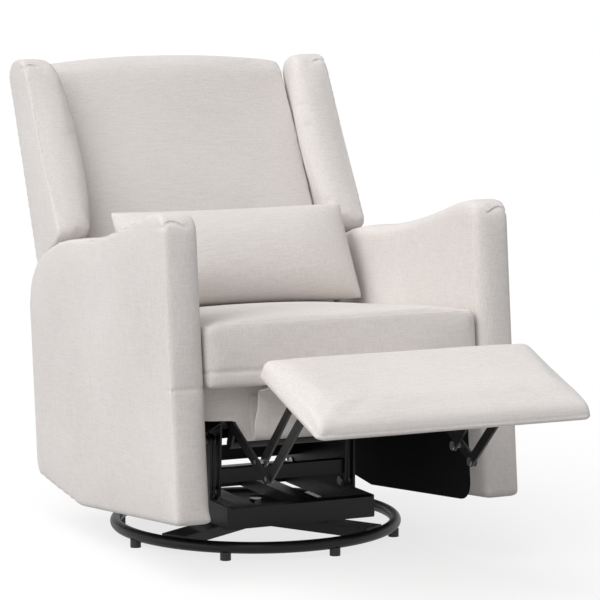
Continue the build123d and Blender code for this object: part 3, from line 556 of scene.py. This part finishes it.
finishes = {"linen": linen(), "black_steel": black_steel(), "zinc": zinc(), "timber": timber(),
            "lining": lining(), "black_plastic": black_plastic()}
for entry in frame["record"]["subparts"]:
    node = frame["nodes"][entry["node"]]
    node.data.materials.clear()
    node.data.materials.append(finishes[entry["material_slot"]])


def arms():
    """Two padded arms with soft inner rolls, sewn outer edges, a front seam and a fold at the top."""
    arm = outline_slab("arm_right", ARM_SIDE, ARM_INNER_X, ARM_OUTER_X + 1.5)
    remesh(arm, 8)
    soften(arm, lambda p: (p[:, 0] < ARM_INNER_X + 30) & (p[:, 2] > 100), 12)
    soften(arm, lambda p: p[:, 0] > ARM_OUTER_X - 10, 1)

    def held(p):
        rim = (p[:, 0] > ARM_OUTER_X - 9) & (outline_distance(p, ARM_SIDE) < 7)
        seam = (abs(p[:, 2] - ARM_FRONT_SEAM_Z) < 5) & (p[:, 1] < -486)
        low = p[:, 2] < 96
        return rim | seam | low | (p[:, 0] < ARM_INNER_X + 1.5)

    puff(arm, held, 6)
    refine(arm)

    def creases(p):
        seam = np.where(p[:, 1] < -478, valley(p[:, 2] - ARM_FRONT_SEAM_Z, 1.6, 3.5), 0)
        under = [(x, z - TUCK_SHADE) for x, z in ARM_TUCK]
        fold = np.where(p[:, 1] < -440, valley(line_distance(p, under), 2.6, 3.2), 0)
        return seam + fold

    press(arm, creases)
    rim = near_spots(arm, [(ARM_OUTER_X, y, z) for y, z in ARM_SIDE[:ARM_EDGE_POINTS]], EDGE_SINK)
    edge = welt("arm_edge_right", rim, EDGE_RADIUS)
    tuck = welt("arm_tuck_right", front_spots(arm, ARM_TUCK, TUCK_SINK), 1.7)
    settle_pair((arm, edge, tuck), "seat", "arm_cover")


def wings():
    """Two padded wings that bow inwards before the back, with a sewn edge round each outer panel."""
    wing = outline_slab("wing_pad_right", WING_SIDE, WING_INNER_X, WING_OUTER_X + 1)
    remesh(wing, 7)
    points = points_of(wing)
    before_back = back_front(points[:, 2]) - 12 - points[:, 1]
    height = np.clip((points[:, 2] - 650) / 400, 0, 1)
    bow = np.clip(before_back / 25, 0, 1) * np.clip((WING_OUTER_X - points[:, 0]) / 60, 0, 1)
    points[:, 0] -= WING_BOW * bow * np.sin(pi * height) ** 0.6
    place_points(wing, points)
    soften(wing, lambda p: (p[:, 0] < WING_INNER_X + 30), 16)
    soften(wing, lambda p: (p[:, 0] > WING_OUTER_X - 10), 1)

    def held(p):
        rim = (p[:, 0] > WING_OUTER_X - 8) & (outline_distance(p, WING_SIDE) < 6)
        behind = p[:, 1] > back_front(p[:, 2]) - 6
        return rim | ((p[:, 0] < WING_INNER_X + 4) & behind)

    puff(wing, held, 7)
    refine(wing)
    under = [(x, z - TUCK_SHADE) for x, z in WING_TUCK]
    press(wing, lambda p: np.where(p[:, 1] < 350, valley(line_distance(p, under), 2.2, 3.2), 0))
    rim = near_spots(wing, [(WING_OUTER_X, y, z) for y, z in WING_SIDE], EDGE_SINK)
    edge = welt("wing_edge_right", rim, EDGE_RADIUS, closed=True)
    tuck = welt("wing_tuck_right", front_spots(wing, WING_TUCK, TUCK_SINK), 1.6)
    settle_pair((wing, edge, tuck), "back", "wing")


def back_cushion():
    """One crowned back cushion whose top falls away to its corners."""
    pad = outline_slab("back_pad", BACK_SIDE, -BACK_HALF_WIDTH, BACK_HALF_WIDTH)
    remesh(pad, 8)
    points = points_of(pad)
    fall = BACK_CORNER_FALL * (abs(points[:, 0]) / 260) ** 2.2 * np.clip((points[:, 2] - 880) / 170, 0, 1)
    points[:, 2] -= fall
    place_points(pad, points)
    soften(pad, lambda p: (abs(p[:, 0]) > 270) & (p[:, 2] > 430), 6)

    def held(p):
        return (abs(p[:, 0]) > 290) | (p[:, 1] > back_front(p[:, 2]) + 22) | (p[:, 2] < 425)

    puff(pad, held, 16)
    refine(pad)
    settle(pad, "back", "linen")
    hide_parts("back_cushion")


def seat_cushion():
    """A crowned seat with a double-stitched seam round its top and one near its foot."""
    low = (-SEAT_HALF_WIDTH, SEAT_FRONT_Y, SEAT_LOW_Z)
    pad = block("seat_pad", low, (SEAT_HALF_WIDTH, SEAT_REAR_Y, SEAT_HIGH_Z))
    round_edges(pad, 18, lambda m, way: abs(way.z) > 0.9 and m.y < -100)
    round_edges(pad, 12, lambda m, way: m.z > SEAT_HIGH_Z - 1 and abs(way.z) < 0.1 and m.y < SEAT_REAR_Y - 1)
    remesh(pad, 7.5)
    points = points_of(pad)
    fall = SEAT_SIDE_FALL * (abs(points[:, 0]) / SEAT_HALF_WIDTH) ** 4
    points[:, 2] -= fall * np.clip((points[:, 2] - 440) / 40, 0, 1)
    place_points(pad, points)
    soften(pad, lambda p: (p[:, 2] > SEAT_HIGH_Z - 24) & (p[:, 1] < 60), 5)
    soften(pad, lambda p: (p[:, 2] < SEAT_LOW_Z + 16) & (p[:, 1] < 60), 4)

    def held(p):
        edge = (abs(p[:, 0]) > SEAT_HALF_WIDTH - 30) | (p[:, 1] < SEAT_FRONT_Y + 30)
        top_seam = edge & (abs(p[:, 2] - SEAT_TOP_SEAM_Z) < 4)
        low_seam = edge & (abs(p[:, 2] - SEAT_LOW_SEAM_Z) < 4)
        side = abs(p[:, 0]) > SEAT_HALF_WIDTH - 1.5
        return top_seam | low_seam | side | (p[:, 2] < SEAT_LOW_Z + 4) | (p[:, 1] > SEAT_REAR_Y - 5)

    puff(pad, held, 24)
    refine(pad)

    def seams(p):
        edge = np.clip((SEAT_REAR_Y - 40 - p[:, 1]) / 60, 0, 1)
        sides = (abs(p[:, 0]) > SEAT_HALF_WIDTH - 45) | (p[:, 1] < SEAT_FRONT_Y + 45)
        gather = 1 + 0.5 * np.sin(p[:, 0] / 7.0) * np.clip((abs(p[:, 0]) - 150) / 120, 0, 1)
        return np.where(sides, edge * (valley(p[:, 2] - SEAT_TOP_SEAM_Z, 2.2 * gather, 4.5) + valley(
            p[:, 2] - SEAT_LOW_SEAM_Z, 2.0, 4.5)), 0)

    press(pad, seams)
    rows = []
    for name, z in (("seat_stitch_high", SEAT_TOP_SEAM_Z + 5), ("seat_stitch_low", SEAT_TOP_SEAM_Z - 5)):
        places = [(x, z) for x in range(-282, 283, 12)]
        rows.append(welt(name, front_spots(pad, places, 0.3), 0.8))
    settle(pad, "seat", "linen")
    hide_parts("seat_cushion")
    for row in rows:
        settle(row, "seat", "linen")


def footrest_place():
    """From the footrest's own frame (across, along from its rear, height over its top) to the chair's."""
    s, c = sin(FOOTREST_SLOPE), cos(FOOTREST_SLOPE)
    y, z = FOOTREST_REAR
    return Matrix(((1, 0, 0, 0), (0, -c, -s, y * MM), (0, -s, c, z * MM), (0, 0, 0, 1)))


def footrest():
    """A thin crowned pad whose cloth rolls over its board, with a seam along its front."""
    half, front = FOOTREST_HALF_WIDTH + FOOTREST_EASE, FOOTREST_LENGTH + FOOTREST_EASE
    pad = block("footrest_pad", (-half, -1, -FOOTREST_THICK + 0.5), (half, front, 3))
    round_edges(pad, 16, lambda m, way: abs(way.z) > 0.9)
    round_edges(pad, 14, lambda m, way: m.z > 1 and abs(way.z) < 0.1, 6)
    remesh(pad, 5.5)
    points = points_of(pad)
    across, along = abs(points[:, 0]) / half, abs(2 * points[:, 1] / front - 1)
    dome = (np.clip(1 - across ** 4, 0, 1) * np.clip(1 - along ** 3, 0, 1)) ** 0.5
    roll = 10 * np.clip((points[:, 1] - front + 70) / 70, 0, 1) ** 2
    points[:, 2] += (9 * dome - roll) * np.clip((points[:, 2] + 24) / 20, 0, 1)
    place_points(pad, points)
    soften(pad, lambda p: p[:, 2] > -26, 10)

    def held(p):
        seam = (abs(p[:, 2] - FOOTREST_FRONT_SEAM) < 3) & (p[:, 1] > front - 16)
        return (p[:, 2] < -FOOTREST_THICK + 6) | (p[:, 1] < 5) | seam

    puff(pad, held, 5)
    soften(pad, lambda p: p[:, 2] > -22, 6)
    refine(pad)
    press(pad, lambda p: np.where(p[:, 1] > front - 24, valley(p[:, 2] - FOOTREST_FRONT_SEAM, 1.6, 2.6), 0))
    pad.data.transform(footrest_place())
    only(pad)
    bpy.ops.object.mode_set(mode="EDIT")
    bpy.ops.mesh.select_all(action="SELECT")
    bpy.ops.mesh.normals_make_consistent(inside=False)
    bpy.ops.object.mode_set(mode="OBJECT")
    settle(pad, "footrest", "linen")
    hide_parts("footrest_cushion")


def pillow():
    """A loose pillow with a knife edge, pointed corners and sides that pull in."""
    pad = block("lumbar_pillow_pad", (-1, -1, -1), (1, 1, 1))
    only(pad)
    bpy.ops.object.mode_set(mode="EDIT")
    bpy.ops.mesh.subdivide(number_cuts=47)
    bpy.ops.object.mode_set(mode="OBJECT")
    p = points_of(pad)
    u, v, side = p[:, 0], p[:, 2], p[:, 1]
    sag = v + 0.2 * (1 - v ** 2)
    full = (np.clip(1 - abs(u) ** 3.2, 0, 1) * np.clip(1 - abs(sag) ** 2.4, 0, 1)) ** 0.5
    pull_u, pull_v = 1 - 0.02 * (1 - abs(v) ** 2), 1 - 0.05 * (1 - abs(u) ** 2)
    edge = np.maximum(full * PILLOW_HALF_THICK, 3.0)
    x, z = u * PILLOW_HALF_WIDTH * pull_u, v * PILLOW_HALF_HEIGHT * pull_v
    place_points(pad, np.stack([x, side * edge, z], 1))
    remesh(pad, 5.5)
    puff(pad, lambda q: abs(q[:, 1]) < 4.5, 9)
    refine(pad)
    turn = Matrix.Translation(Vector(PILLOW_MIDDLE) * MM) @ Matrix.Rotation(-PILLOW_LEAN, 4, "X")
    pad.data.transform(turn)
    settle(pad, "pillow", "linen")
    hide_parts("lumbar_pillow")


def flap():
    """Cloth that hangs in a loop from the front rail, rises and runs forward to the footrest's rear edge."""
    steps = line_steps(FLAP_LINE)
    sheet, g = grid_sheet("legrest_flap_cloth", 56, 90)
    across, down = g[:, 0], (g[:, 1] + 1) / 2 * steps[-1]
    y = np.interp(down, steps, [start for start, _ in FLAP_LINE])
    z = np.interp(down, steps, [height for _, height in FLAP_LINE])
    free = np.clip(np.minimum(down - 70, steps[-1] - down) / 60, 0, 1)
    ripple = free * (2.4 * np.sin(down / 19 + 2 * across) + 2.0 * np.sin(9 * across + down / 40))
    edge = FLAP_HALF_WIDTH - 4 + free * 4 * np.sin(down / 17 + 0.6)
    rise = np.clip((down - 190) / 40, 0, 1)
    place_points(sheet, np.stack([across * edge, y - (1 - rise) * abs(ripple), z + rise * ripple], 1))
    soften(sheet, lambda q: q[:, 2] > -1, 3)
    apply_modifier(sheet, "SOLIDIFY", thickness=CLOTH_THICK * MM, offset=0)
    refine(sheet)
    settle(sheet, "seat", "linen")
    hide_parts("legrest_flap")
    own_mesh(sheet)


def front_band():
    """Cloth stretched over the front rail, with a seam from which it narrows and hangs behind the flap."""
    band, g = grid_sheet("front_band_cloth", 120, 60)
    height = BAND_HIGH_Z - BAND_LOW_Z
    z = BAND_LOW_Z + (g[:, 1] + 1) / 2 * height
    seam = valley(z - BAND_SEAM_Z, 0.6, 2.5)
    half = np.interp(z, [low for low, _ in BAND_SIDE], [width for _, width in BAND_SIDE])
    place_points(band, np.stack([g[:, 0] * half, BAND_Y - seam, z], 1))
    apply_modifier(band, "SOLIDIFY", thickness=CLOTH_THICK * MM, offset=0)
    settle(band, "seat", "linen")
    spans = zip(BAND_SIDE, BAND_SIDE[1:])
    area = sum((high - low) * (a + b) for (low, a), (high, b) in spans) * MM * MM
    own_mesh(band)


def rail_tabs():
    """Cloth drawn over the front ends of the side rails, behind the band."""
    for side, way in (("left", -1), ("right", 1)):
        tab, g = grid_sheet(f"rail_end_cloth_{side}", 16, 14)
        x = way * TAB_MIDDLE_X + g[:, 0] * TAB_HALF_WIDTH
        z = TAB_MIDDLE_Z + g[:, 1] * TAB_HALF_HEIGHT
        place_points(tab, np.stack([x, np.full(len(g), TAB_Y), z], 1))
        apply_modifier(tab, "SOLIDIFY", thickness=0.8 * MM, offset=0)
        settle(tab, "seat", "linen")


def rear_cover():
    """A sheet stretched behind the seat between the arms, closing the rear; its black lining finish is
    painted shade for the rear panel's shaded inside.
    """
    cover, g = grid_sheet("rear_dust_cover", 60, 16)
    height = COVER_HIGH_Z - COVER_LOW_Z
    z = COVER_LOW_Z + (g[:, 1] + 1) / 2 * height
    place_points(cover, np.stack([g[:, 0] * COVER_HALF_WIDTH, np.full(len(g), COVER_Y), z], 1))
    apply_modifier(cover, "SOLIDIFY", thickness=1.2 * MM, offset=0)
    # The black lining finish here is painted shade: it stands for the shaded inside of the off-white rear
    # panel
    settle(cover, "seat", "lining")


def outer_back():
    """Cloth stretched over the back from behind, turned in at its ends and round the frame's sides."""
    steps = line_steps(OUTER_BACK_LINE)
    cloth, g = grid_sheet("outer_back_cloth", 120, 90)
    along = steps[-1] / 2 * (1 + np.sign(g[:, 0]) * (1 - (1 - abs(g[:, 0])) ** 1.8))
    x = np.interp(along, steps, [place for place, _ in OUTER_BACK_LINE])
    depth = np.interp(along, steps, [behind for _, behind in OUTER_BACK_LINE])
    high = OUTER_BACK_HIGH - OUTER_BACK_FALL * (abs(x) / BACK_HALF_WIDTH) ** 2.2
    up = OUTER_BACK_LOW + (g[:, 1] + 1) / 2 * (high - OUTER_BACK_LOW)
    from_end = np.minimum(up - OUTER_BACK_LOW, high - up)
    turn = np.clip((OUTER_BACK_TURN - from_end) / OUTER_BACK_TURN, 0, 1)
    depth -= OUTER_BACK_TURN_DEPTH * turn ** 2 * (depth > 1)
    place_points(cloth, np.stack([-x, depth, up], 1))
    apply_modifier(cloth, "SOLIDIFY", thickness=1.2 * MM, offset=0)
    lean = Matrix.Rotation(-OUTER_BACK_LEAN, 4, "X")
    cloth.data.transform(Matrix.Translation(Vector(OUTER_BACK_FOOT) * MM) @ lean)
    settle(cloth, "back", "linen")
    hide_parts("back_outer_panel")


def camera():
    deselect()
    bpy.ops.object.camera_add(location=(-2.5508, -5.7022, 1.2964),
                              rotation=(radians(90 - 7.29), 0, radians(-24.99)))
    eye = bpy.context.object
    eye.name = "photo_camera"
    eye.data.sensor_width = 36
    eye.data.lens = 174.46
    eye.data.shift_y = 0.0086
    eye.data.clip_end = 200
    bpy.context.scene.camera = eye


def white_rays(tree):
    """A factor that is one for rays from the camera, off gloss and through glass."""
    seen = tree.nodes.new("ShaderNodeLightPath")
    factor = seen.outputs["Is Camera Ray"]
    for name in ("Is Glossy Ray", "Is Transmission Ray"):
        either = tree.nodes.new("ShaderNodeMath")
        either.operation = "MAXIMUM"
        tree.links.new(factor, either.inputs[0])
        tree.links.new(seen.outputs[name], either.inputs[1])
        factor = either.outputs[0]
    return factor


def studio():
    """White floor that keeps a light shadow, even surround and one broad soft light from the upper left."""
    deselect()
    bpy.ops.mesh.primitive_plane_add(size=160)
    floor = bpy.context.object
    floor.name = "studio_floor"
    n = Nodes("pale_floor")
    n.set(Base_Color=(0.45, 0.45, 0.45, 1), Roughness=0.9, Specular_IOR_Level=0.1)
    matt = n.add("ShaderNodeBsdfDiffuse")
    matt.inputs["Color"].default_value = (0.23, 0.23, 0.23, 1)
    glow = n.add("ShaderNodeEmission")
    glow.inputs["Strength"].default_value = 0.765
    shown = n.add("ShaderNodeAddShader")
    n.link(matt.outputs[0], shown.inputs[0])
    n.link(glow.outputs[0], shown.inputs[1])
    choice = n.add("ShaderNodeMixShader")
    n.link(white_rays(n.tree), choice.inputs[0])
    n.link(n.shader.outputs[0], choice.inputs[1])
    n.link(shown.outputs[0], choice.inputs[2])
    n.link(choice.outputs[0], n.out.inputs["Surface"])
    floor.data.materials.append(n.material)
    way = Vector((-0.61, -0.2, 0.767))
    bpy.ops.object.light_add(type="SUN", rotation=way.to_track_quat("Z", "Y").to_euler())
    lamp = bpy.context.object
    lamp.name = "key_sun"
    lamp.data.energy = 2.75
    lamp.data.angle = radians(70)
    world = bpy.data.worlds.new("white_surround")
    bpy.context.scene.world = world
    world.use_nodes = True
    tree = world.node_tree
    sky = tree.nodes["Background"]
    sky.inputs["Color"].default_value = (1, 1, 1, 1)
    sky.inputs["Strength"].default_value = 0.42
    plain = tree.nodes.new("ShaderNodeBackground")
    plain.inputs["Color"].default_value = (1, 1, 1, 1)
    plain.inputs["Strength"].default_value = 1.0
    choice = tree.nodes.new("ShaderNodeMixShader")
    tree.links.new(white_rays(tree), choice.inputs[0])
    tree.links.new(sky.outputs[0], choice.inputs[1])
    tree.links.new(plain.outputs[0], choice.inputs[2])
    tree.links.new(choice.outputs[0], tree.nodes["World Output"].inputs["Surface"])


arms()
wings()
back_cushion()
outer_back()
seat_cushion()
footrest()
pillow()
flap()
front_band()
rail_tabs()
rear_cover()
camera()
studio()
bpy.context.scene.view_settings.view_transform = "Standard"
